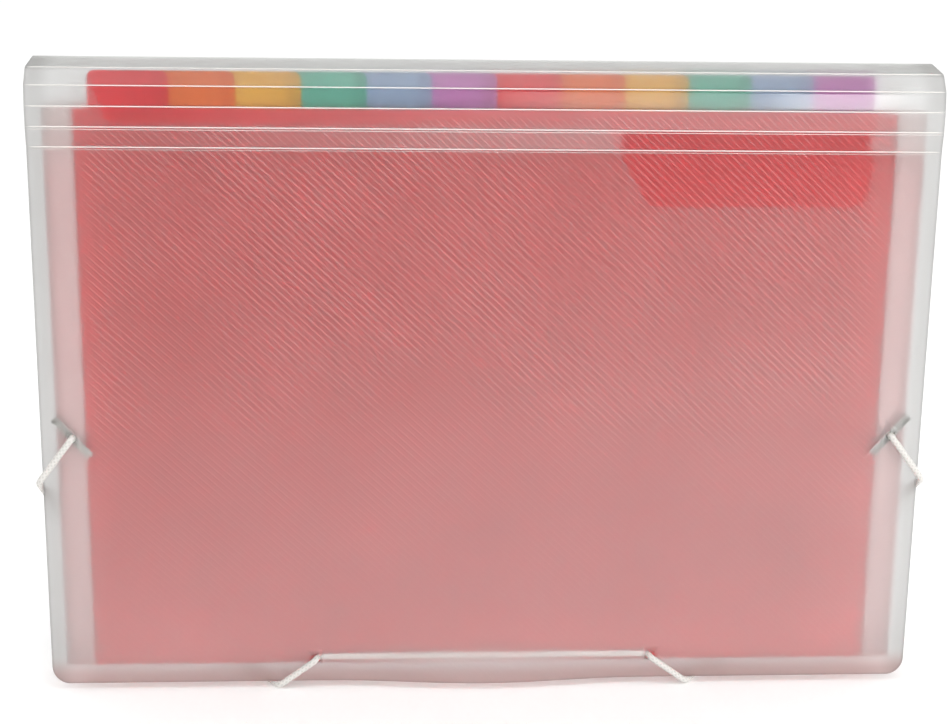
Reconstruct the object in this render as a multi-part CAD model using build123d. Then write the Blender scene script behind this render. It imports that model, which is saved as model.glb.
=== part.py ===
import os
from math import atan2, cos, degrees, hypot, pi, radians, sin, tan

from build123d import *

# An expanding file of translucent plastic sheet: a scored cover round thirteen fan-folded pockets.
# Millimetres and degrees. X runs across the folder, Y towards its back, Z up. It stands on z = 0.

# Cover: one scored sheet makes the back, the top strip and the flap
cover_overhang = 4.9  # beyond the gussets
cover_sheet = 0.8
second_line_lift = 8.0  # second score line above the dividers
score_pitch = 7.3  # from one score line to the next
shoulder_lean = 35.0  # strip between the first two score lines, from upright
top_rise = 3.0  # back edge of the top strip above the first score line
score_bulge = 0.9  # third and fourth score lines in front of the flap
cover_corner = 7.0  # lower corners
hinge_gap = 0.28  # beside each folded edge

# Pockets: a front panel, dividers with tabs and a rear panel, each with a lip that closes its pocket
divider_count = 12
pocket_pitch = 1.05
front_room = 3.9  # front panel to flap, where the elastic and its clips lie
pocket_lift = 6.0  # pocket floors above the cover's lower edge
divider_width = 303.0
divider_height = 216.0
divider_sheet = 0.4
front_sheet = 0.5
lip_gap = 0.12  # between a lip and the sheet in front of it

# Tabs along the top of the dividers
tab_clear = 0.85  # below the first score line
tab_width = 29.0
tab_inset = 5.5  # first and last tab from the divider's sides
tab_corner = 3.0

# Front panel: a wide cut along the top between two ears, and a deeper notch for a thumb
ear_drop = 1.65  # tops of the ears below the tabs
left_ear = 6.1  # widths of the ears at their tops
right_ear = 5.8
left_ear_lean = 18.0
right_ear_lean = 4.5
ear_corner = 1.5
band_depth = 5.8  # below the top edge of the dividers
band_corner = 4.0
notch_depth = 35.6  # below the top edge of the dividers
notch_left = 42.5  # from the panel's middle, at the level of the wide cut
notch_left_lean = 30.0
notch_corner = 6.0

# Side gussets: a folded strip of film beside each pocket
gusset_sheet = 0.2
gusset_depth = 11.0
gusset_gap = 0.1  # between the film and the divider's edge
gusset_offset = 0.16  # of each leg from the middle of its divider
fold_gap = 0.06  # inside the fold

# Elastic: one cord through four holes in the flap, round the lower corners and the lower edge
cord = 2.2
cord_gap = 0.22  # to the sheets that it lies on
edge_bend = 1.6  # middle of the cord round the cover's edges
hole_bend = 2.2  # middle of the cord through a hole
side_hole_inset = 11.5
side_hole_height = 99.0  # above the cover's lower edge
base_hole_offset = 65.5  # from the middle
base_hole_height = 9.3
hole_slant = 0.6  # how far the cord leans over inside a lower hole
side_wrap_front = 82.0  # heights where the cord crosses the side edges
side_wrap_back = 68.0
base_wrap_front = 80.0  # places where it crosses the lower edges, from the middle
base_wrap_back = 94.0
foot_stub = 0.6  # straight cord left at each end of the run under the folder

# End clips: a folded metal bar on each end of the elastic, behind the flap
clip_length = 20.0
clip_depth = 2.4
clip_wall = 0.3
clip_lean = 48.0
clip_gap = 0.1  # to the flap
crimp_gap = 0.05  # between the bar and the cord
clip_corner = 0.5

# Places that follow from the sizes above
cord_r = cord / 2
half_sheet = cover_sheet / 2
cover_width = divider_width + 2 * (gusset_gap + gusset_depth + cover_overhang)
cover_depth = front_room + (divider_count + 1) * pocket_pitch + (cover_sheet + divider_sheet) / 2
flap_y = -cover_depth / 2
back_y = cover_depth / 2
edge_z = cord + cord_gap  # cover's lower edge
floor_z = edge_z + pocket_lift
divider_top_z = floor_z + divider_height
front_y = flap_y + front_room


def sheet_y(i):
    # middle of panel i: 0 is the front panel, then the dividers, then the rear panel
    return front_y + i * pocket_pitch


# Score lines of the closed cover as (y, z), from the fold at the back of the top strip down the front
second_z = divider_top_z + second_line_lift
first_y = flap_y + score_pitch * sin(radians(shoulder_lean))
first_z = second_z + score_pitch * cos(radians(shoulder_lean))
tab_top_z = first_z - tab_clear
back_fold = (back_y, first_z + top_rise)
score_lines = [
    (first_y, first_z),
    (flap_y, second_z),
    (flap_y - score_bulge, second_z - score_pitch),
    (flap_y - score_bulge, second_z - 2 * score_pitch),
    (flap_y, second_z - 3 * score_pitch),
]


def cover_strip(start, end, bead, gap):
    # sheet from start to end across the whole width; the bead is the rounded fold at its start
    run = hypot(end[0] - start[0], end[1] - start[1]) - gap
    turn = degrees(atan2(end[1] - start[1], end[0] - start[0]))
    profile = Pos(run / 2, 0) * Rectangle(run, cover_sheet)
    if bead:
        profile += Circle(half_sheet)
    placed = Plane.YZ * Pos(start[0], start[1]) * Rot(0, 0, turn) * profile
    return extrude(placed, cover_width / 2, both=True)


def round_lower_corners(sheet):
    return fillet(sheet.edges().filter_by(Axis.Y).group_by(Axis.Z)[0], cover_corner)


def back_cover():
    return round_lower_corners(cover_strip((back_y, edge_z), back_fold, False, half_sheet + hinge_gap))


def flap():
    sheet = cover_strip(score_lines[-1], (flap_y, edge_z), True, 0)
    sheet = round_lower_corners(sheet)
    hole = Rot(90, 0, 0) * Cylinder(hole_bend, 2 * cover_sheet)
    for side in (-1, 1):
        sheet -= Pos(side * side_hole_x, flap_y, side_hole_z) * hole
        sheet -= Pos(side * base_hole_offset, flap_y, base_hole_z) * hole
    return sheet


def upright(outline, y, sheet):
    # flat sheet with its outline in the XZ plane and its middle at y
    return extrude(Plane((0, y, 0), x_dir=(1, 0, 0), z_dir=(0, -1, 0)) * outline, sheet / 2, both=True)


def panel_blank(sheet, top_z):
    # outline above the rounded fold at the foot of a panel
    height = top_z - floor_z - sheet / 2
    return Pos(0, top_z - height / 2) * Rectangle(divider_width, height)


def foot(y, sheet):
    # round of the fold that a panel turns on
    return Pos(0, y, floor_z + sheet / 2) * Rot(0, 90, 0) * Cylinder(sheet / 2, divider_width)


def lip(i, sheet):
    # fold at the foot of panel i that reaches forward to the panel in front of it
    ahead = front_sheet if i == 1 else divider_sheet
    reach = pocket_pitch - ahead / 2 - lip_gap
    box = Box(divider_width, reach, sheet, align=(Align.CENTER, Align.MAX, Align.MIN))
    return Pos(0, sheet_y(i), floor_z) * box


def divider(i):
    tab_span = divider_width - 2 * tab_inset
    tab_step = (tab_span - tab_width) / (divider_count - 1)
    tab_x = -tab_span / 2 + tab_width / 2 + (i - 1) * tab_step
    tab_full = tab_top_z - divider_top_z + tab_corner
    tab = Pos(tab_x, tab_top_z - tab_full / 2) * RectangleRounded(tab_width, tab_full, tab_corner)
    sheet = upright(panel_blank(divider_sheet, divider_top_z) + tab, sheet_y(i), divider_sheet)
    return sheet + foot(sheet_y(i), divider_sheet) + lip(i, divider_sheet)


def rear_panel():
    i = divider_count + 1
    sheet = upright(panel_blank(divider_sheet, divider_top_z), sheet_y(i), divider_sheet)
    return sheet + foot(sheet_y(i), divider_sheet) + lip(i, divider_sheet)


def front_panel():
    half = divider_width / 2
    ear_z = tab_top_z - ear_drop
    band_z = divider_top_z - band_depth
    notch_z = divider_top_z - notch_depth
    band_left = left_ear - half + (ear_z - band_z) * tan(radians(left_ear_lean))
    floor_left = notch_left + (band_z - notch_z) * tan(radians(notch_left_lean))
    floor_right = half - right_ear - (ear_z - notch_z) * tan(radians(right_ear_lean))
    cut = make_face(Polyline(
        (left_ear - half, ear_z),
        (band_left, band_z),
        (notch_left, band_z),
        (floor_left, notch_z),
        (floor_right, notch_z),
        (half - right_ear, ear_z),
        close=True,
    ))
    cut = fillet(cut.vertices().group_by(Axis.Y)[0], notch_corner)
    cut = fillet(cut.vertices().sort_by(Axis.X)[1], band_corner)
    outline = panel_blank(front_sheet, ear_z) - cut
    outline = fillet(outline.vertices().group_by(Axis.Y)[-1], ear_corner)
    return upright(outline, front_y, front_sheet) + foot(front_y, front_sheet)


def gusset(i, side):
    # folded film beside the pocket between panels i - 1 and i
    root_x = divider_width / 2 + gusset_gap
    tip_x = root_x + gusset_depth
    half = gusset_sheet / 2
    front = sheet_y(i - 1) + gusset_offset
    back = sheet_y(i) - gusset_offset
    middle = (front + back) / 2
    outer_half = fold_gap / 2 + gusset_sheet
    inner_half = fold_gap / 2
    outline = make_face(Polyline(
        (root_x, front - half),
        (tip_x, middle - outer_half),
        (tip_x, middle + outer_half),
        (root_x, back + half),
        (root_x, back - half),
        (tip_x - gusset_sheet, middle + inner_half),
        (tip_x - gusset_sheet, middle - inner_half),
        (root_x, front + half),
        close=True,
    ))
    film = extrude(Pos(0, 0, floor_z) * outline, divider_height)
    return film if side > 0 else mirror(film, Plane.YZ)


# Route of the elastic's right half; the left half is its mirror image
side_hole_x = cover_width / 2 - side_hole_inset
side_hole_z = edge_z + side_hole_height
base_hole_z = edge_z + base_hole_height
clear = cord_gap + cord_r
over_y = flap_y - half_sheet - clear
inner_y = flap_y + half_sheet + clear
behind_y = back_y + half_sheet + clear
beside_x = cover_width / 2 + clear
under_z = cord_r
clip_web_y = flap_y + half_sheet + clip_gap + clip_depth - clip_wall

cord_end = Vector(side_hole_x, clip_web_y - crimp_gap, side_hole_z)
side_hole = Vector(side_hole_x, over_y, side_hole_z)
side_front = Vector(beside_x, over_y, edge_z + side_wrap_front)
side_back = Vector(beside_x, behind_y, edge_z + side_wrap_back)
base_back = Vector(base_wrap_back, behind_y, under_z)
base_front = Vector(base_wrap_front, over_y, under_z)
base_hole_out = Vector(base_hole_offset, over_y, base_hole_z)
base_hole_in = Vector(base_hole_offset, inner_y, base_hole_z)
hole_out = base_hole_out + (base_front - base_hole_out).normalized() * hole_slant
hole_in = base_hole_in - Vector(hole_slant, 0, 0)


def bend_start(before, corner, after, radius):
    # distance from a corner to the start of its arc
    turn = (corner - before).get_angle(after - corner)
    return radius * sin(radians(turn / 2)) / cos(radians(turn / 2))


foot_run = (base_front - base_back).normalized()
foot_back = base_back + foot_run * (bend_start(side_back, base_back, base_front, edge_bend) + foot_stub)
foot_front = base_front - foot_run * (bend_start(base_back, base_front, hole_out, edge_bend) + foot_stub)


def cord_along(name, points, radii):
    route = FilletPolyline(*points, radius=radii) if radii else Line(*points)
    section = Plane(route @ 0, z_dir=route % 0) * Circle(cord_r)
    tube = sweep(section, path=route)
    share = tube.volume / (pi * cord_r**2 * route.length)
    print(f"{name}: {route.length:.1f} mm of cord, radii {radii}, volume share {share:.4f}")
    return tube


def mirrored(point):
    return Vector(-point.X, point.Y, point.Z)


def elastic_corner():
    points = [cord_end, side_hole, side_front, side_back, base_back, foot_back]
    return cord_along("elastic corner", points, [hole_bend, edge_bend, edge_bend, edge_bend])


def elastic_foot():
    return cord_along("elastic foot", [foot_back, foot_front], [])


def elastic_front():
    half = [foot_front, base_front, hole_out, hole_in]
    points = half + [mirrored(point) for point in reversed(half)]
    bends = [edge_bend, hole_bend, hole_bend]
    return cord_along("elastic front", points, bends + bends[::-1])


def end_clip():
    # folded bar, open towards the flap, with the cord's end pinched in its fold
    inner_width = cord + 2 * crimp_gap
    bar = extrude(RectangleRounded(clip_length, inner_width + 2 * clip_wall, clip_corner), clip_depth)
    groove = extrude(Rectangle(2 * clip_length, inner_width), clip_depth - clip_wall)
    seat = Plane(
        (side_hole_x, flap_y + half_sheet + clip_gap, side_hole_z),
        x_dir=(cos(radians(clip_lean)), 0, sin(radians(clip_lean))),
        z_dir=(0, 1, 0),
    )
    return seat * (bar - groove)


os.makedirs("parts", exist_ok=True)


def save(name, shape):
    export_step(shape, f"parts/{name}.step")


def save_pair(name, right):
    save(f"right_{name}", right)
    save(f"left_{name}", mirror(right, Plane.YZ))


save("back_cover", back_cover())
strip_gap = half_sheet + hinge_gap
save("top_strip", cover_strip(back_fold, score_lines[0], True, strip_gap))
for n in range(1, len(score_lines)):
    save(f"flap_strip_{n}", cover_strip(score_lines[n - 1], score_lines[n], True, strip_gap))
save("flap", flap())
save("front_panel", front_panel())
for n in range(1, divider_count + 1):
    save(f"divider_{n:02d}", divider(n))
save("rear_panel", rear_panel())
for n in range(1, divider_count + 2):
    save(f"right_gusset_{n:02d}", gusset(n, 1))
    save(f"left_gusset_{n:02d}", gusset(n, -1))
right_corner = elastic_corner()
save("elastic_cord", Compound([elastic_front(), right_corner, mirror(right_corner, Plane.YZ)]))
save_pair("elastic_foot", elastic_foot())
save_pair("end_clip", end_clip())
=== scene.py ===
import math

import bmesh
import bpy
from mathutils import Matrix, Vector


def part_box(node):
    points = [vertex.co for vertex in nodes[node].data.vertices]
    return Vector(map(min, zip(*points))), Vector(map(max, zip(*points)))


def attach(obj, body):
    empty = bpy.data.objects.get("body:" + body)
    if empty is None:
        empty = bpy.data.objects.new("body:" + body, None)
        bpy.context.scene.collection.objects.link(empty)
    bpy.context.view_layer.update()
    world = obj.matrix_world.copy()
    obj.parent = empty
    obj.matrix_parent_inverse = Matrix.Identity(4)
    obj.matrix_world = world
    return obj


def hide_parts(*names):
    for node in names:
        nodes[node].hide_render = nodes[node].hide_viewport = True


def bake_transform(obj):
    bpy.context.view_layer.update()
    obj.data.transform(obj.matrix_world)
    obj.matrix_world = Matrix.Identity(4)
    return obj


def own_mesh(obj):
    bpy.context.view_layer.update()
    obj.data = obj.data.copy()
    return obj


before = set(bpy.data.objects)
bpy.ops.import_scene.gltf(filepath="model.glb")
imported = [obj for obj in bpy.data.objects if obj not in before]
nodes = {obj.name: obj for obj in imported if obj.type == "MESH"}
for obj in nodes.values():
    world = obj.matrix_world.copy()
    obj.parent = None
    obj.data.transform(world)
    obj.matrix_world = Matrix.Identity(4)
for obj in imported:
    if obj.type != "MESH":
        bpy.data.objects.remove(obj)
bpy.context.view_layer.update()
scene = bpy.context.scene
print("frame loaded:", len(nodes), "nodes")


def newFinish(name):
    finish = bpy.data.materials.new(name)
    finish.use_nodes = True
    tree = finish.node_tree
    return finish, tree, tree.nodes["Principled BSDF"]


def addNode(tree, kind, settings=None, values=None):
    node = tree.nodes.new(kind)
    for key, value in (settings or {}).items():
        setattr(node, key, value)
    for key, value in (values or {}).items():
        node.inputs[key].default_value = value
    return node


def newPiece(name, mesh, finish, smooth=True):
    piece = bpy.data.objects.new(name, mesh)
    scene.collection.objects.link(piece)
    mesh.materials.append(finish)
    for face in mesh.polygons:
        face.use_smooth = smooth
    return piece


def dress(nodeName, finish):
    mesh = nodes[nodeName].data
    mesh.materials.clear()
    mesh.materials.append(finish)


# finishes of the translucent sheets
sheetLook = {
    "ior": 1.2,
    "coatRoughness": 0.09,
    "cloudScale": 22.0,
    "cloudStops": (0.3, 0.7),
    "grain": 0.03,  # change of roughness
    "grainScale": 900.0,
    "grainHeight": 0.00002,
    "ribSpacing": 0.0021,
    "waveStep": 0.314,  # between the bands of a wave texture of scale 1
    "ribAngle": 47.0,
    "ribHeight": 0.00005,
    "ribPaintedShade": (0.93, 0.93, 0.93),
    "ribCrest": (0.62, 0.97),  # of a wave
    "ribFoot": 0.15,  # depth at the foot, as a share of that at full depth
    "ribDeep": 0.17,  # height of full depth
    "ribLean": 0.03,
    "ribTop": (0.2235, 0.2195),
    "ribSide": (0.153, 0.142),
    "ribFadeNoise": (0.35, 0.65),  # of the cloudy noise
}


def ramp(tree, source, zero, one, low=0.0, high=1.0):
    reach = {"From Min": zero, "From Max": one, "To Min": low, "To Max": high}
    step = addNode(tree, "ShaderNodeMapRange", {"interpolation_type": "SMOOTHSTEP"}, reach)
    tree.links.new(source, step.inputs["Value"])
    return step.outputs["Result"]


def sumUp(tree, operation, a, b=0.0):
    node = addNode(tree, "ShaderNodeMath", {"operation": operation})
    for socket, value in zip(node.inputs, (a, b)):
        if isinstance(value, float):
            socket.default_value = value
        else:
            tree.links.new(value, socket)
    return node.outputs["Value"]


def toneColour(tree, share, colour, shade, blend="MULTIPLY"):
    toned = addNode(tree, "ShaderNodeMix", {"data_type": "RGBA", "blend_type": blend})
    tree.links.new(share, toned.inputs[0])
    tree.links.new(colour, toned.inputs[6])
    if isinstance(shade, tuple):
        toned.inputs[7].default_value = (*shade, 1)
    else:
        tree.links.new(shade, toned.inputs[7])
    return toned.outputs[2]


def twoTones(tree, source, tones, places=(0.0, 1.0)):
    tone = addNode(tree, "ShaderNodeValToRGB")
    for stop, shade, place in zip(tone.color_ramp.elements, tones, places):
        stop.position = place
        stop.color = (*shade, 1)
    tree.links.new(source, tone.inputs["Fac"])
    return tone.outputs["Color"]


def sheetFinish(name, tint, shade, clear, rough, coat=0.0):
    # polypropylene sheet: cloudy tint and fine grain
    finish, tree, shader = newFinish(name)
    shader.inputs["Transmission Weight"].default_value = clear
    shader.inputs["IOR"].default_value = sheetLook["ior"]
    shader.inputs["Coat Weight"].default_value = coat
    shader.inputs["Coat Roughness"].default_value = sheetLook["coatRoughness"]
    place = addNode(tree, "ShaderNodeTexCoord")
    cloudy = {"Scale": sheetLook["cloudScale"], "Detail": 3.0, "Roughness": 0.55}
    cloud = addNode(tree, "ShaderNodeTexNoise", None, cloudy)
    tree.links.new(place.outputs["Object"], cloud.inputs["Vector"])
    colour = twoTones(tree, cloud.outputs["Fac"], (shade, tint), sheetLook["cloudStops"])
    tree.links.new(colour, shader.inputs["Base Color"])
    grain = addNode(tree, "ShaderNodeTexNoise", None, {"Scale": sheetLook["grainScale"], "Detail": 2.0})
    tree.links.new(place.outputs["Object"], grain.inputs["Vector"])
    spread = {"To Min": -sheetLook["grain"], "To Max": sheetLook["grain"]}
    gloss = addNode(tree, "ShaderNodeMapRange", None, spread)
    tree.links.new(grain.outputs["Fac"], gloss.inputs["Value"])
    level = sumUp(tree, "ADD", gloss.outputs["Result"], rough)
    tree.links.new(level, shader.inputs["Roughness"])
    fine = addNode(tree, "ShaderNodeBump", None, {"Strength": 0.15, "Distance": sheetLook["grainHeight"]})
    tree.links.new(grain.outputs["Fac"], fine.inputs["Height"])
    tree.links.new(fine.outputs["Normal"], shader.inputs["Normal"])
    axes = addNode(tree, "ShaderNodeSeparateXYZ")
    tree.links.new(place.outputs["Object"], axes.inputs["Vector"])
    return finish, {
        "tree": tree,
        "shader": shader,
        "place": place,
        "x": axes.outputs["X"],
        "y": axes.outputs["Y"],
        "z": axes.outputs["Z"],
        "side": sumUp(tree, "ABSOLUTE", axes.outputs["X"]),
        "cloud": cloud.outputs["Fac"],
        "colour": colour,
        "level": level.node,
        "fine": fine,
    }


def addRibs(sheet, strength):
    # embossed diagonal ribs over the pockets, deeper towards the top,
    #     # that stop between the third and fourth score line; painted shade darkens the sheet between their
    #     crests so that the crests read as lit lines, fading with the ribs' depth
    tree = sheet["tree"]
    turn = addNode(tree, "ShaderNodeMapping")
    turn.inputs["Rotation"].default_value = (0, math.radians(sheetLook["ribAngle"]), 0)
    tree.links.new(sheet["place"].outputs["Object"], turn.inputs["Vector"])
    wave = addNode(
        tree,
        "ShaderNodeTexWave",
        {"wave_type": "BANDS", "bands_direction": "X"},
        {"Scale": sheetLook["waveStep"] / sheetLook["ribSpacing"], "Distortion": 0.0},
    )
    tree.links.new(turn.outputs["Vector"], wave.inputs["Vector"])
    ridge = ramp(tree, wave.outputs["Fac"], *sheetLook["ribCrest"])
    leaning = sumUp(tree, "SUBTRACT", sheet["z"], sumUp(tree, "MULTIPLY", sheet["x"], sheetLook["ribLean"]))
    depth = ramp(tree, sheet["z"], 0.0, sheetLook["ribDeep"], sheetLook["ribFoot"] * strength, strength)
    for mask in (
        ramp(tree, leaning, *sheetLook["ribTop"]),
        ramp(tree, sheet["side"], *sheetLook["ribSide"]),
        ramp(tree, sheet["cloud"], *sheetLook["ribFadeNoise"], 0.5, 1.0),
    ):
        depth = sumUp(tree, "MULTIPLY", depth, mask)
    # painted shade between the rib crests
    line = twoTones(tree, ridge, (sheetLook["ribPaintedShade"], (1, 1, 1)))
    sheet["colour"] = toneColour(tree, depth, sheet["colour"], line)
    relief = addNode(tree, "ShaderNodeBump", None, {"Distance": sheetLook["ribHeight"]})
    tree.links.new(depth, relief.inputs["Strength"])
    tree.links.new(ridge, relief.inputs["Height"])
    tree.links.new(relief.outputs["Normal"], sheet["fine"].inputs["Normal"])
    sheet["rib"] = sumUp(tree, "MULTIPLY", depth, ridge)


coverLook = {
    "tint": (0.875, 0.875, 0.87),
    "shade": (0.85, 0.85, 0.845),
    "rough": 0.56,
    "upperRough": 0.42,
    "edgeBlur": 0.22,
    "coat": 0.22,
    "clear": 0.99,
    "ribSheen": 0.055,
    "lowHaze": 0.085,
    "shoulderSheen": 0.03,
    "bandSheen": 0.075,
    "rimPaintedShade": (0.77, 0.765, 0.76),
    "upperPaintedShade": (0.97, 0.97, 0.97),
    "topPaintedShade": (0.80, 0.80, 0.79),
    "footPaintedReflection": (0.86, 0.70, 0.69),
    "edgePaintedShade": (0.84, 0.84, 0.84),
    "edgeWidth": 0.0008,
    "edgeShares": (1.4, 0.6),  # of that width, in from the corner's round
    "narrowFrom": (0.2235, 0.2265),  # in metres, where each change begins and where it is full
    "footBlurFrom": (0.032, 0.014),
    "sideBlurFrom": (0.135, 0.150),
    "hazeLean": 0.2,
    "hazeFrom": (0.20, 0.01),
    "shoulderFrom": (0.2316, 0.2334),
    "bandLow": (0.2100, 0.2112),
    "bandHigh": (0.2257, 0.2245),
    "bandAcross": (-0.16, 0.08),
    "notchLeft": (0.046, 0.050),
    "notchRight": (0.142, 0.138),
    "notchTop": (0.2184, 0.2172),
    "rimFrom": (0.157, 0.1655),
    "upperFrom": (0.2245, 0.2257),
    "topFrom": (-0.0054, -0.0036),
    "footFrom": (0.014, 0.005),
}


def coverFinish():
    look = coverLook
    finish, sheet = sheetFinish(
        "frostedSheet", look["tint"], look["shade"], look["clear"], look["rough"], look["coat"]
    )
    tree = sheet["tree"]
    x, z, side = sheet["x"], sheet["z"], sheet["side"]
    addRibs(sheet, 1.0)
    # the narrow strips lie close to the tabs and blur them less
    rough = ramp(tree, z, *look["narrowFrom"], look["rough"], look["upperRough"])
    # its sides and foot stand further away from the pockets and blur them more
    rough = sumUp(tree, "ADD", rough, ramp(tree, side, *look["sideBlurFrom"], 0.0, look["edgeBlur"]))
    rough = sumUp(tree, "ADD", rough, ramp(tree, z, *look["footBlurFrom"], 0.0, look["edgeBlur"]))
    tree.links.new(rough, sheet["level"].inputs[1])
    # the sheet is made less clear towards the lower right; on the top facets, on the rib crests
    #     # and in a band between the third and fifth score line it is also less clear as painted sheen, a
    #     painted reflection of the lamps
    leaning = sumUp(tree, "SUBTRACT", z, sumUp(tree, "MULTIPLY", x, look["hazeLean"]))
    hazeAndSheen = ramp(tree, leaning, *look["hazeFrom"], 0.0, look["lowHaze"])
    hazeAndSheen = sumUp(tree, "ADD", hazeAndSheen, ramp(tree, z, *look["shoulderFrom"], 0.0, look["shoulderSheen"]))
    band = sumUp(tree, "MULTIPLY", ramp(tree, z, *look["bandLow"]), ramp(tree, z, *look["bandHigh"]))
    # the lower half of the band of painted sheen is left out over the thumb notch
    over = sumUp(tree, "MULTIPLY", ramp(tree, x, *look["notchLeft"]), ramp(tree, x, *look["notchRight"]))
    over = sumUp(tree, "MULTIPLY", over, ramp(tree, z, *look["notchTop"]))
    band = sumUp(tree, "MULTIPLY", band, sumUp(tree, "SUBTRACT", 1.0, over))
    bandSheenShare = ramp(tree, x, *look["bandAcross"], 0.0, look["bandSheen"])
    hazeAndSheen = sumUp(tree, "ADD", hazeAndSheen, sumUp(tree, "MULTIPLY", band, bandSheenShare))
    hazeAndSheen = sumUp(tree, "ADD", hazeAndSheen, sumUp(tree, "MULTIPLY", sheet["rib"], look["ribSheen"]))
    clear = sumUp(tree, "SUBTRACT", look["clear"], hazeAndSheen)
    tree.links.new(clear, sheet["shader"].inputs["Transmission Weight"])
    # painted shade: the sheet's overhang, upper strips, top strip and a thin line along its cut edge are
    # darker, and its foot has a painted rosy reflection of the pockets
    flapLow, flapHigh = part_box("flap")
    corner = coverSheetLook["cornerRadius"]
    across = sumUp(tree, "MAXIMUM", sumUp(tree, "SUBTRACT", side, flapHigh.x - corner), 0.0)
    below = sumUp(tree, "MAXIMUM", sumUp(tree, "SUBTRACT", flapLow.z + corner, z), 0.0)
    squares = [sumUp(tree, "MULTIPLY", way, way) for way in (across, below)]
    reach = sumUp(tree, "SQRT", sumUp(tree, "ADD", *squares))
    edgeStart, edgeEnd = (corner - share * look["edgeWidth"] for share in look["edgeShares"])
    colour = sheet["colour"]
    for share, shade in (
        (ramp(tree, reach, edgeStart, edgeEnd), look["edgePaintedShade"]),
        (ramp(tree, side, *look["rimFrom"]), look["rimPaintedShade"]),
        (ramp(tree, z, *look["upperFrom"]), look["upperPaintedShade"]),
        (ramp(tree, sheet["y"], *look["topFrom"]), look["topPaintedShade"]),
        (ramp(tree, z, *look["footFrom"]), look["footPaintedReflection"]),
    ):
        colour = toneColour(tree, share, colour, shade)
    tree.links.new(colour, sheet["shader"].inputs["Base Color"])
    return finish


backLook = {"clear": 0.92, "rough": 0.62, "coat": 0.22, "ribs": 0.9}


def backFinish():
    look = backLook
    finish, sheet = sheetFinish(
        "frostedBack", coverLook["tint"], coverLook["shade"], look["clear"], look["rough"], look["coat"]
    )
    addRibs(sheet, look["ribs"])
    sheet["tree"].links.new(sheet["colour"], sheet["shader"].inputs["Base Color"])
    return finish


panelLook = {
    "tint": (0.98, 0.975, 0.97),
    "shade": (0.96, 0.955, 0.95),
    "clear": 0.95,
    "edgeClear": 0.2,
    "flatFrom": (0.3, 0.7),  # share of the normal that points to the front or back
    "rough": 0.75,
}


def panelFinish():
    # clear inner sheet whose cut edges catch the light
    look = panelLook
    finish, sheet = sheetFinish("clearPanel", look["tint"], look["shade"], look["clear"], look["rough"])
    tree = sheet["tree"]
    facing = addNode(tree, "ShaderNodeSeparateXYZ")
    tree.links.new(sheet["place"].outputs["Normal"], facing.inputs["Vector"])
    flat = sumUp(tree, "ABSOLUTE", facing.outputs["Y"])
    clear = ramp(tree, flat, *look["flatFrom"], look["edgeClear"], look["clear"])
    tree.links.new(clear, sheet["shader"].inputs["Transmission Weight"])
    return finish


clearPanel = panelFinish()

dividerLook = {
    "red": ((0.97, 0.066, 0.082), (0.92, 0.056, 0.068)),
    "orange": ((0.99, 0.245, 0.052), (0.95, 0.22, 0.047)),
    "yellow": ((0.98, 0.57, 0.10), (0.93, 0.53, 0.088)),
    "green": ((0.19, 0.62, 0.47), (0.165, 0.575, 0.435)),
    "blue": ((0.41, 0.54, 0.75), (0.375, 0.505, 0.705)),
    "purple": ((0.71, 0.26, 0.64), (0.66, 0.24, 0.59)),
}
dividerSheetLook = {"clear": 0.42, "rough": 0.40}
colourOrder = list(dividerLook)
dividerFinish = {}
for colour, (tint, shade) in dividerLook.items():
    dividerFinish[colour], _ = sheetFinish(
        "divider" + colour.capitalize(), tint, shade, dividerSheetLook["clear"], dividerSheetLook["rough"]
    )

dividerCount = sum(1 for name in nodes if name.startswith("divider_"))
for i in range(dividerCount):
    dress("divider_%02d" % (i + 1), dividerFinish[colourOrder[i % len(colourOrder)]])
dress("back_cover", backFinish())
dress("front_panel", clearPanel)
print("dividers dressed:", dividerCount)


creaseLook = {
    "clear": 0.3,
    "rough": 0.35,
    "streakScale": 160.0,
    "tones": ((0.86, 0.83, 0.80), (0.97, 0.95, 0.92)),
}


def creaseFinish():
    # stretched, whitened plastic along the score lines
    finish, tree, shader = newFinish("whitenedCrease")
    shader.inputs["Transmission Weight"].default_value = creaseLook["clear"]
    shader.inputs["Roughness"].default_value = creaseLook["rough"]
    place = addNode(tree, "ShaderNodeTexCoord")
    streak = addNode(tree, "ShaderNodeTexNoise", None, {"Scale": creaseLook["streakScale"], "Detail": 4.0})
    tree.links.new(place.outputs["Object"], streak.inputs["Vector"])
    colour = twoTones(tree, streak.outputs["Fac"], creaseLook["tones"])
    tree.links.new(colour, shader.inputs["Base Color"])
    return finish


filmLook = {
    "cover": 0.5,
    "rough": 0.42,
    "cloudScale": 60.0,
    "wrinkleHeight": 0.0002,
    "tones": ((0.95, 0.79, 0.78), (0.99, 0.875, 0.855)),
    "lowPaintedShade": (0.92, 0.78, 0.79),
    "lowFrom": (0.222, 0.200),
}


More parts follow.
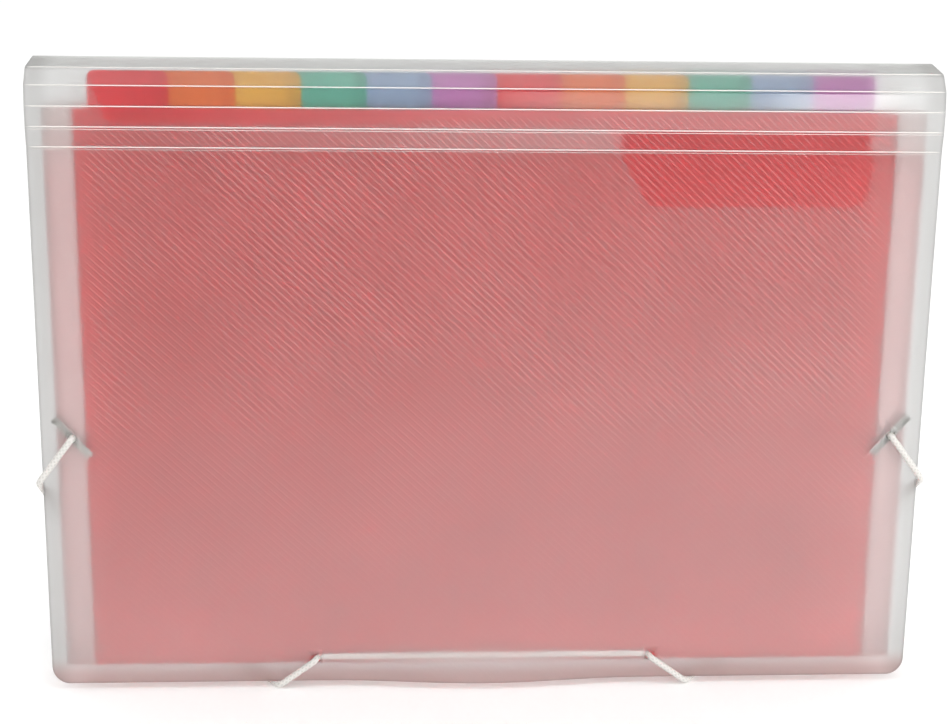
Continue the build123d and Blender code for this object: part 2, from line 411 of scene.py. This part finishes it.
def filmFinish():
    # thin milky film, tinted pink, that lets the folds behind it show as a faint pink
    finish, tree, shader = newFinish("gussetFilm")
    shader.inputs["Alpha"].default_value = filmLook["cover"]
    shader.inputs["Roughness"].default_value = filmLook["rough"]
    place = addNode(tree, "ShaderNodeTexCoord")
    cloud = addNode(tree, "ShaderNodeTexNoise", None, {"Scale": filmLook["cloudScale"], "Detail": 3.0})
    tree.links.new(place.outputs["Object"], cloud.inputs["Vector"])
    colour = twoTones(tree, cloud.outputs["Fac"], filmLook["tones"])
    axes = addNode(tree, "ShaderNodeSeparateXYZ")
    tree.links.new(place.outputs["Object"], axes.inputs["Vector"])
    # painted shade: the film is darker lower down
    lower = ramp(tree, axes.outputs["Z"], *filmLook["lowFrom"])
    toned = toneColour(tree, lower, colour, filmLook["lowPaintedShade"])
    tree.links.new(toned, shader.inputs["Base Color"])
    wrinkle = addNode(tree, "ShaderNodeBump", None, {"Strength": 0.3, "Distance": filmLook["wrinkleHeight"]})
    tree.links.new(cloud.outputs["Fac"], wrinkle.inputs["Height"])
    tree.links.new(wrinkle.outputs["Normal"], shader.inputs["Normal"])
    return finish


clipLook = {
    "scratchScale": 420.0,
    "rough": {"To Min": 0.24, "To Max": 0.46},
    "tones": ((0.50, 0.50, 0.48), (0.71, 0.70, 0.68)),
}


def metalFinish():
    finish, tree, shader = newFinish("clipMetal")
    shader.inputs["Metallic"].default_value = 1.0
    place = addNode(tree, "ShaderNodeTexCoord")
    scratch = addNode(tree, "ShaderNodeTexNoise", None, {"Scale": clipLook["scratchScale"], "Detail": 4.0})
    tree.links.new(place.outputs["Object"], scratch.inputs["Vector"])
    gloss = addNode(tree, "ShaderNodeMapRange", None, clipLook["rough"])
    tree.links.new(scratch.outputs["Fac"], gloss.inputs["Value"])
    tree.links.new(gloss.outputs["Result"], shader.inputs["Roughness"])
    colour = twoTones(tree, scratch.outputs["Fac"], clipLook["tones"])
    tree.links.new(colour, shader.inputs["Base Color"])
    return finish


clipMetal = metalFinish()
dress("left_end_clip", clipMetal)
dress("right_end_clip", clipMetal)

# cover: one scored sheet from the back fold over the top and down the front
coverSheetLook = {
    "cornerRadius": 0.007,
    "foldRound": 0.0011,
    "holeRadius": 0.0019,
    "lowerHole": (0.0655, 0.01172),
    "holeSides": 40,
    "cutterShare": 6,  # of half the sheet's thickness
    "edgeSteps": 4,
    "foldSteps": 6,
    "cornerSteps": 9,
    "columns": 48,
    "flapRows": 30,
    "bow": 0.0045,
    "bowHalf": 0.062,
    "bowRise": 0.09,
}


def coverProfile():
    # score lines as (y, z), taken from the rounded fold at the start of each strip
    flapLow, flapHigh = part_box("flap")
    half = (flapHigh.y - flapLow.y) / 2
    flapMid = (flapHigh.y + flapLow.y) / 2
    lines = []
    for strip in ("top_strip", "flap_strip_1", "flap_strip_2"):
        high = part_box(strip)[1]
        lines.append((high.y - half, high.z - half))
    low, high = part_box("flap_strip_3")
    lines.append(((low.y + high.y) / 2, high.z - half))
    low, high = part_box("flap_strip_4")
    lines.append((low.y + half, high.z - half))
    lines.append((flapMid, flapHigh.z - half))
    lines.append((flapMid, flapLow.z))
    return [Vector((0, y, z)) for y, z in lines], half, flapHigh.x


def foldedRows(lines, half):
    # stations (point, share of half thickness) from the back fold to the lower edge
    steps = coverSheetLook["edgeSteps"]
    away = (lines[1] - lines[0]).normalized()
    rows = []
    for i in range(steps + 1):
        a = math.radians(90 - 90 * i / steps)
        rows.append((lines[0] - away * half * math.sin(a), math.cos(a)))
    for n in range(1, len(lines) - 1):
        before, at, after = lines[n - 1], lines[n], lines[n + 1]
        r = coverSheetLook["foldRound"]
        start = at + (before - at).normalized() * r
        end = at + (after - at).normalized() * r
        for i in range(coverSheetLook["foldSteps"] + 1):
            t = i / coverSheetLook["foldSteps"]
            rows.append((start * (1 - t) ** 2 + at * 2 * t * (1 - t) + end * t * t, 1.0))
    corner = coverSheetLook["cornerRadius"]
    low = lines[-1]
    top = rows[-1][0]
    flat = top.z - low.z - corner
    for i in range(1, coverSheetLook["flapRows"] + 1):
        rows.append((Vector((0, low.y, top.z - flat * i / coverSheetLook["flapRows"])), 1.0))
    for i in range(1, coverSheetLook["cornerSteps"] + 1):
        a = math.radians(90 - 90 * i / coverSheetLook["cornerSteps"])
        d = corner * (1 - math.cos(a))
        inward = max(0.0, 1 - d / half)
        rows.append((Vector((0, low.y, low.z + d)), min(1.0, math.sqrt(max(0.0, 1 - inward ** 2)))))
    return rows


def edgeBow(x, rise):
    # the flap's lower edge stands away from the pockets between the two lower holes
    across = abs(x) / coverSheetLook["bowHalf"]
    up = rise / coverSheetLook["bowRise"]
    if across >= 1 or up >= 1:
        return 0.0
    return coverSheetLook["bow"] * math.cos(across * math.pi / 2) ** 2 * (1 - up) ** 2


def buildCoverSheet():
    lines, half, wide = coverProfile()
    rows = foldedRows(lines, half)
    corner = coverSheetLook["cornerRadius"]
    low = lines[-1]
    steps = coverSheetLook["edgeSteps"]
    count = coverSheetLook["columns"]
    mesh = bmesh.new()
    front, back = [], []
    for n, (point, thick) in enumerate(rows):
        ahead = rows[min(n + 1, len(rows) - 1)][0] - rows[max(n - 1, 0)][0]
        out = Vector((0, ahead.z, -ahead.y)).normalized()
        reach = wide
        rise = point.z - low.z
        if rise < corner:
            reach = wide - corner + math.sqrt(max(0.0, corner ** 2 - (corner - rise) ** 2))
        columns = []
        for i in range(steps):
            a = math.radians(90 * (1 - i / steps))
            columns.append((-reach + half - half * math.sin(a), math.cos(a)))
        for i in range(count + 1):
            columns.append((-(reach - half) + 2 * (reach - half) * i / count, 1.0))
        columns += [(-x, share) for x, share in reversed(columns[:steps])]
        onFlap = point.z < lines[-2].z
        rowFront, rowBack = [], []
        for x, share in columns:
            y = point.y - (edgeBow(x, rise) if onFlap else 0.0)
            offset = out * half * thick * share
            rowFront.append(mesh.verts.new((x, y + offset.y, point.z + offset.z)))
            rowBack.append(mesh.verts.new((x, y - offset.y, point.z - offset.z)))
        front.append(rowFront)
        back.append(rowBack)
    for grid, flip in ((front, False), (back, True)):
        for r in range(len(grid) - 1):
            for c in range(len(grid[0]) - 1):
                corners = [grid[r][c], grid[r + 1][c], grid[r + 1][c + 1], grid[r][c + 1]]
                mesh.faces.new(corners[::-1] if flip else corners)
    bmesh.ops.remove_doubles(mesh, verts=mesh.verts, dist=1e-6)
    bmesh.ops.recalc_face_normals(mesh, faces=mesh.faces)
    made = bpy.data.meshes.new("coverSheet")
    mesh.to_mesh(made)
    mesh.free()
    return made


def pierce(piece, places, radius, depth):
    # round holes through the sheet, along y
    cutter = bmesh.new()
    sides = coverSheetLook["holeSides"]
    for place in places:
        turned = Matrix.Translation(place) @ Matrix.Rotation(math.radians(90), 4, "X")
        bmesh.ops.create_cone(
            cutter, cap_ends=True, segments=sides, radius1=radius, radius2=radius, depth=depth, matrix=turned
        )
    cutterMesh = bpy.data.meshes.new("holeCutter")
    cutter.to_mesh(cutterMesh)
    cutter.free()
    cutterObject = bpy.data.objects.new("holeCutter", cutterMesh)
    scene.collection.objects.link(cutterObject)
    cut = piece.modifiers.new("holes", "BOOLEAN")
    cut.operation = "DIFFERENCE"
    cut.solver = "EXACT"
    cut.object = cutterObject
    bpy.context.view_layer.update()
    made = bpy.data.meshes.new_from_object(piece.evaluated_get(bpy.context.evaluated_depsgraph_get()))
    piece.modifiers.remove(cut)
    piece.data = made
    bpy.data.objects.remove(cutterObject)
    for face in made.polygons:
        face.use_smooth = True


# elastic: one braided cord, right half of its route in metres, from the end clip to the middle
elasticLook = {
    "radius": 0.0012,
    "sides": 14,
    "slackShare": 0.4,
    "rough": 0.75,
    "sheen": 0.3,
    "strand": {"Scale": 1.78, "Distortion": 0.3},
    "strandHeight": 0.00015,
    "tones": ((0.52, 0.505, 0.475), (0.66, 0.64, 0.61)),
    "innerPaintedLight": (0.95, 0.935, 0.91),
    "innerLitBehind": (-0.0089, -0.0080),
    "innerLitBetween": (0.0660, 0.0640),
    "route": [
        (0.1560, -0.006525, 0.10142),
        (0.1560, -0.0084, 0.10142),
        (0.1561, -0.010795, 0.1013),
        (0.1582, -0.010795, 0.0985),
        (0.16611, -0.010795, 0.08801),
        (0.16882, -0.010795, 0.08442),
        (0.16882, -0.00702, 0.08197),
        (0.16882, 0.00702, 0.07287),
        (0.16882, 0.010795, 0.07042),
        (0.16552, 0.010795, 0.06736),
        (0.0973, 0.010795, 0.00416),
        (0.0940, 0.010795, 0.0012),
        (0.09155, 0.00702, 0.0012),
        (0.08245, -0.00702, 0.0012),
        (0.0800, -0.010795, 0.0012),
        (0.0764, -0.010795, 0.0038),
        (0.0679, -0.010795, 0.0099),
        (0.0659, -0.010795, 0.0114),
        (0.0651, -0.007355, 0.01172),
        (0.0624, -0.007355, 0.01172),
        (0.0300, -0.007355, 0.01172),
    ],
}


def elasticLine():
    right = elasticLook["route"]
    points = list(right) + [(-x, y, z) for x, y, z in reversed(right)]
    curve = bpy.data.curves.new("elasticLine", "CURVE")
    curve.dimensions = "3D"
    curve.resolution_u = 12
    spline = curve.splines.new("NURBS")
    spline.points.add(len(points) - 1)
    for point, place in zip(spline.points, points):
        point.co = (*place, 1)
    spline.order_u = 3
    spline.use_endpoint_u = True
    holder = bpy.data.objects.new("elasticLine", curve)
    scene.collection.objects.link(holder)
    bpy.context.view_layer.update()
    line = bpy.data.meshes.new_from_object(holder.evaluated_get(bpy.context.evaluated_depsgraph_get()))
    places = [v.co.copy() for v in line.vertices]
    bpy.data.objects.remove(holder)
    bpy.data.meshes.remove(line)
    return places


def buildElastic():
    line = elasticLine()
    radius, sides = elasticLook["radius"], elasticLook["sides"]
    mesh = bmesh.new()
    weave = mesh.loops.layers.uv.new("UVMap")
    side = Vector((0, 0, 1))
    rings, run = [], 0.0
    for n, place in enumerate(line):
        if n:
            run += (place - line[n - 1]).length
        ahead = (line[min(n + 1, len(line) - 1)] - line[max(n - 1, 0)]).normalized()
        side = (side - ahead * side.dot(ahead)).normalized()
        other = ahead.cross(side)
        ring = []
        for i in range(sides):
            a = 2 * math.pi * i / sides
            ring.append(mesh.verts.new(place + (side * math.cos(a) + other * math.sin(a)) * radius))
        rings.append((ring, run))
    around = 2 * math.pi * radius
    for (ring, start), (after, end) in zip(rings, rings[1:]):
        for i in range(sides):
            j = (i + 1) % sides
            face = mesh.faces.new((ring[i], ring[j], after[j], after[i]))
            for loop, u, v in zip(face.loops, (i, i + 1, i + 1, i), (start, start, end, end)):
                loop[weave].uv = (u / sides, v / around)
    mesh.faces.new(rings[0][0][::-1])
    mesh.faces.new(rings[-1][0])
    bmesh.ops.recalc_face_normals(mesh, faces=mesh.faces)
    made = bpy.data.meshes.new("elasticBraid")
    mesh.to_mesh(made)
    mesh.free()
    print("elastic: %.0f mm" % (run * 1000))
    return made


def braidFinish():
    finish, tree, shader = newFinish("braidedElastic")
    shader.inputs["Roughness"].default_value = elasticLook["rough"]
    shader.inputs["Sheen Weight"].default_value = elasticLook["sheen"]
    place = addNode(tree, "ShaderNodeUVMap")
    strands = []
    for lean in (1, -1):
        turn = addNode(tree, "ShaderNodeMapping")
        turn.inputs["Rotation"].default_value = (0, 0, math.radians(45 * lean))
        tree.links.new(place.outputs["UV"], turn.inputs["Vector"])
        bands = {"wave_type": "BANDS", "bands_direction": "X"}
        band = addNode(tree, "ShaderNodeTexWave", bands, elasticLook["strand"])
        tree.links.new(turn.outputs["Vector"], band.inputs["Vector"])
        strands.append(band.outputs["Fac"])
    cross = sumUp(tree, "MAXIMUM", *strands)
    colour = twoTones(tree, cross, elasticLook["tones"])
    # painted light: the run behind the flap is painted lighter, to make up for the light that the sheet in
    # front of it takes
    spot = addNode(tree, "ShaderNodeTexCoord")
    axes = addNode(tree, "ShaderNodeSeparateXYZ")
    tree.links.new(spot.outputs["Object"], axes.inputs["Vector"])
    behind = ramp(tree, axes.outputs["Y"], *elasticLook["innerLitBehind"])
    between = ramp(tree, sumUp(tree, "ABSOLUTE", axes.outputs["X"]), *elasticLook["innerLitBetween"])
    inner = sumUp(tree, "MULTIPLY", behind, between)
    colour = toneColour(tree, inner, colour, elasticLook["innerPaintedLight"], "MIX")
    tree.links.new(colour, shader.inputs["Base Color"])
    relief = addNode(tree, "ShaderNodeBump", None, {"Strength": 0.6, "Distance": elasticLook["strandHeight"]})
    tree.links.new(cross, relief.inputs["Height"])
    tree.links.new(relief.outputs["Normal"], shader.inputs["Normal"])
    return finish


elastic = newPiece("elasticBraid", buildElastic(), braidFinish())
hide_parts("elastic_cord", "left_elastic_foot", "right_elastic_foot")
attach(elastic, "cover")
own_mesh(elastic)

lines, halfSheet, coverReach = coverProfile()
frosted = coverFinish()
coverSheet = newPiece("coverSheet", buildCoverSheet(), frosted)
flapMiddle = lines[-1].y
sideHole = elasticLook["route"][0]
rightHoles = ((sideHole[0], sideHole[2]), coverSheetLook["lowerHole"])
holePlaces = [Vector((s * x, flapMiddle, z)) for x, z in rightHoles for s in (-1, 1)]
pierce(coverSheet, holePlaces, coverSheetLook["holeRadius"], halfSheet * coverSheetLook["cutterShare"])
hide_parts("top_strip", "flap_strip_1", "flap_strip_2", "flap_strip_3", "flap_strip_4", "flap")
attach(coverSheet, "cover")
print("cover sheet:", len(coverSheet.data.polygons), "faces")

# score ridges: thin raised lines pressed along the folds of the cover
ridgeLook = {
    "height": 0.0002,
    "half": 0.00022,
    "root": 0.0001,
    "pairGap": 0.0009,
    "pairShare": 0.5,
    "pairFrom": 4,  # first score line with a second, finer ridge
    "crestSteps": 6,
    "inset": 0.0004,
    "taper": 0.002,
    "tipShare": 0.25,
}


def buildRidges():
    mesh = bmesh.new()
    reach = coverReach - ridgeLook["inset"]
    full = reach - ridgeLook["taper"]
    tip = ridgeLook["tipShare"]
    half, root = ridgeLook["half"], ridgeLook["root"]
    steps = ridgeLook["crestSteps"]
    for n in range(1, len(lines) - 1):
        at = lines[n]
        tangent = (lines[n + 1] - lines[n]).normalized() + (lines[n] - lines[n - 1]).normalized()
        tangent.normalize()
        out = Vector((0, tangent.z, -tangent.y))
        # the rounded fold lies inside the sharp corner of the profile
        turn = (lines[n + 1] - lines[n]).angle(lines[n] - lines[n - 1])
        sink = coverSheetLook["foldRound"] / 2 * math.sin(turn / 2)
        stripes = [(0.0, 1.0)]
        if n >= ridgeLook["pairFrom"]:
            stripes.append((ridgeLook["pairGap"], ridgeLook["pairShare"]))
        for shift, size in stripes:
            middle = at + tangent * shift + out * (halfSheet - sink)
            ring = []
            for i in range(steps + 1):
                a = math.pi * i / steps
                crest = tangent * half * math.cos(a) + out * ridgeLook["height"] * math.sin(a)
                ring.append(middle + crest * size)
            ring.append(middle - tangent * half * size - out * root)
            ring.append(middle + tangent * half * size - out * root)
            stations = []
            for x in (-reach, -full, -reach / 2, 0, reach / 2, full, reach):
                share = tip if abs(x) == reach else 1.0
                across = Vector((x, 0, 0))
                stations.append([mesh.verts.new(middle + (p - middle) * share + across) for p in ring])
            for a, b in zip(stations, stations[1:]):
                for i in range(len(ring)):
                    j = (i + 1) % len(ring)
                    mesh.faces.new((a[i], b[i], b[j], a[j]))
            mesh.faces.new(stations[0])
            mesh.faces.new(stations[-1][::-1])
    bmesh.ops.recalc_face_normals(mesh, faces=mesh.faces)
    made = bpy.data.meshes.new("scoreRidges")
    mesh.to_mesh(made)
    mesh.free()
    return made


ridges = newPiece("scoreRidges", buildRidges(), creaseFinish())
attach(ridges, "cover")
print("score ridges:", len(ridges.data.polygons), "faces")

# rear sheet of the last pocket, a little thinner than its solid so that it stands clear of the back cover
rearLook = {"thickShare": 0.8}


def buildRearSheet():
    low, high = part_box("rear_panel")
    mesh = bmesh.new()
    mesh.from_mesh(nodes["rear_panel"].data)
    for corner in mesh.verts:
        corner.co.y = low.y + (corner.co.y - low.y) * rearLook["thickShare"]
    made = bpy.data.meshes.new("rearSheet")
    mesh.to_mesh(made)
    mesh.free()
    made.materials.clear()
    return made


rearSheet = newPiece("rearSheet", buildRearSheet(), clearPanel, smooth=False)
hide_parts("rear_panel")
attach(rearSheet, "back")

# gussets: a folded strip of film on each side of each pocket
gussetLook = {"thickness": 0.0002, "rows": 6, "legSteps": 5, "foldPinch": 0.00016}
film = filmFinish()


def buildGusset(k, side):
    hand = "right" if side > 0 else "left"
    node = hand + "_gusset_%02d" % k
    low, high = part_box(node)
    root = low.x if side > 0 else high.x
    tip = high.x if side > 0 else low.x
    half = gussetLook["thickness"] / 2
    frontY, backY = low.y + half, high.y - half
    middle = (frontY + backY) / 2
    pinch = gussetLook["foldPinch"]
    tipLine = tip - side * half
    path = []
    steps = gussetLook["legSteps"]
    for i in range(steps + 1):
        t = i / steps
        path.append(Vector((root + (tipLine - root) * t, frontY + (middle - pinch - frontY) * t, 0)))
    for i in range(steps + 1):
        t = i / steps
        y = middle + pinch + (backY - middle - pinch) * t
        path.append(Vector((tipLine + (root - tipLine) * t, y, 0)))
    mesh = bmesh.new()
    outer, inner = [], []
    for r in range(gussetLook["rows"] + 1):
        z = low.z + (high.z - low.z) * r / gussetLook["rows"]
        rowOuter, rowInner = [], []
        for i, p in enumerate(path):
            ahead = path[min(i + 1, len(path) - 1)] - path[max(i - 1, 0)]
            out = Vector((ahead.y, -ahead.x, 0)).normalized() * half
            rowOuter.append(mesh.verts.new((p.x + out.x, p.y + out.y, z)))
            rowInner.append(mesh.verts.new((p.x - out.x, p.y - out.y, z)))
        outer.append(rowOuter)
        inner.append(rowInner)
    last = len(path) - 1
    for r in range(gussetLook["rows"]):
        for i in range(last):
            mesh.faces.new((outer[r][i], outer[r][i + 1], outer[r + 1][i + 1], outer[r + 1][i]))
            mesh.faces.new((inner[r][i], inner[r + 1][i], inner[r + 1][i + 1], inner[r][i + 1]))
        for i in (0, last):
            mesh.faces.new((outer[r][i], outer[r + 1][i], inner[r + 1][i], inner[r][i]))
    for r in (0, gussetLook["rows"]):
        for i in range(last):
            mesh.faces.new((outer[r][i], outer[r][i + 1], inner[r][i + 1], inner[r][i]))
    bmesh.ops.recalc_face_normals(mesh, faces=mesh.faces)
    name = hand + "Gusset%02d" % k
    made = bpy.data.meshes.new(name)
    mesh.to_mesh(made)
    mesh.free()
    piece = newPiece(name, made, film)
    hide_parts(node)
    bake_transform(piece)


for k in range(1, dividerCount + 2):
    for side in (1, -1):
        buildGusset(k, side)
print("gussets:", 2 * (dividerCount + 1))

# floor, light and camera
studioLook = {
    "floorSize": 30.0,
    "floorGlow": 0.10,
    "floorRough": 0.8,
    "floorTones": ((0.93, 0.93, 0.925), (0.95, 0.95, 0.945)),
    "floorNear": 0.55,
    "floorFar": 1.3,
    "floorFade": (0.79, 0.79, 0.79),
    "world": 1.0,
}


def buildFloor():
    mesh = bmesh.new()
    bmesh.ops.create_grid(mesh, x_segments=8, y_segments=8, size=studioLook["floorSize"])
    made = bpy.data.meshes.new("paleFloor")
    mesh.to_mesh(made)
    mesh.free()
    floor = bpy.data.objects.new("paleFloor", made)
    scene.collection.objects.link(floor)
    finish, tree, shader = newFinish("paleFloor")
    shader.inputs["Roughness"].default_value = studioLook["floorRough"]
    shader.inputs["Emission Color"].default_value = (1, 1, 1, 1)
    shader.inputs["Emission Strength"].default_value = studioLook["floorGlow"]
    place = addNode(tree, "ShaderNodeTexCoord")
    cloud = addNode(tree, "ShaderNodeTexNoise", None, {"Scale": 4.0})
    tree.links.new(place.outputs["Object"], cloud.inputs["Vector"])
    colour = twoTones(tree, cloud.outputs["Fac"], studioLook["floorTones"])
    # a little greyer far in front, so that the raised flap stands out from it when seen from behind
    axes = addNode(tree, "ShaderNodeSeparateXYZ")
    tree.links.new(place.outputs["Object"], axes.inputs["Vector"])
    fade = ramp(tree, axes.outputs["Y"], -studioLook["floorNear"], -studioLook["floorFar"])
    faded = toneColour(tree, fade, colour, studioLook["floorFade"])
    tree.links.new(faded, shader.inputs["Base Color"])
    made.materials.append(finish)


lightLook = {
    "overhead": {"place": (0.1, -0.35, 1.5), "aim": (0, 0, 0.2), "size": (0.62, 0.62), "power": 3.0},
    "rightFill": {"place": (1.0, -1.1, 0.15), "aim": (0.1, 0, 0.05), "size": (0.7, 0.5), "power": 6.0},
    "frontStrip": {"place": (0.30, -1.44, 0.49), "aim": (0.05, 0, 0.23), "size": (0.38, 0.16), "power": 2.0},
    "sideWindow": {"place": (0.535, -1.44, 0.49), "aim": (0.13, 0, 0.23), "size": (0.14, 0.16), "power": 2.6},
}


def addLight(name, look):
    light = bpy.data.lights.new(name, "AREA")
    light.energy = look["power"]
    light.shape = "RECTANGLE"
    light.size, light.size_y = look["size"]
    holder = bpy.data.objects.new(name, light)
    holder.location = look["place"]
    facing = Vector(look["aim"]) - Vector(look["place"])
    holder.rotation_euler = facing.to_track_quat("-Z", "Y").to_euler()
    scene.collection.objects.link(holder)


buildFloor()
world = bpy.data.worlds.new("studio")
scene.world = world
world.use_nodes = True
world.node_tree.nodes["Background"].inputs["Color"].default_value = (1, 1, 1, 1)
world.node_tree.nodes["Background"].inputs["Strength"].default_value = studioLook["world"]
for name, look in lightLook.items():
    addLight(name, look)

viewLook = {
    "target": (-0.0049, -0.0095, 0.1308),
    "azimuth": -3.27,
    "elevation": 13.43,
    "distance": 0.624,
    "lens": 62.9,
    "sensor": 36.0,
    "roll": 0.71,
}


def addCamera():
    turn, lift = math.radians(viewLook["azimuth"]), math.radians(viewLook["elevation"])
    away = Vector((math.sin(turn) * math.cos(lift), -math.cos(turn) * math.cos(lift), math.sin(lift)))
    right = Vector((0, 0, 1)).cross(away).normalized()
    up = away.cross(right)
    roll = math.radians(viewLook["roll"])
    right, up = right * math.cos(roll) + up * math.sin(roll), up * math.cos(roll) - right * math.sin(roll)
    camera = bpy.data.cameras.new("photoView")
    camera.lens = viewLook["lens"]
    camera.sensor_width = viewLook["sensor"]
    camera.clip_start = 0.01
    holder = bpy.data.objects.new("photoView", camera)
    turned = Matrix((right, up, away)).transposed().to_4x4()
    stand = Vector(viewLook["target"]) + away * viewLook["distance"]
    holder.matrix_world = Matrix.Translation(stand) @ turned
    scene.collection.objects.link(holder)
    scene.camera = holder


addCamera()
scene.view_settings.view_transform = "Standard"
scene.cycles.max_bounces = 32
scene.cycles.transmission_bounces = 32
scene.cycles.glossy_bounces = 8
scene.cycles.diffuse_bounces = 6
scene.cycles.transparent_max_bounces = 48
print("studio ready")
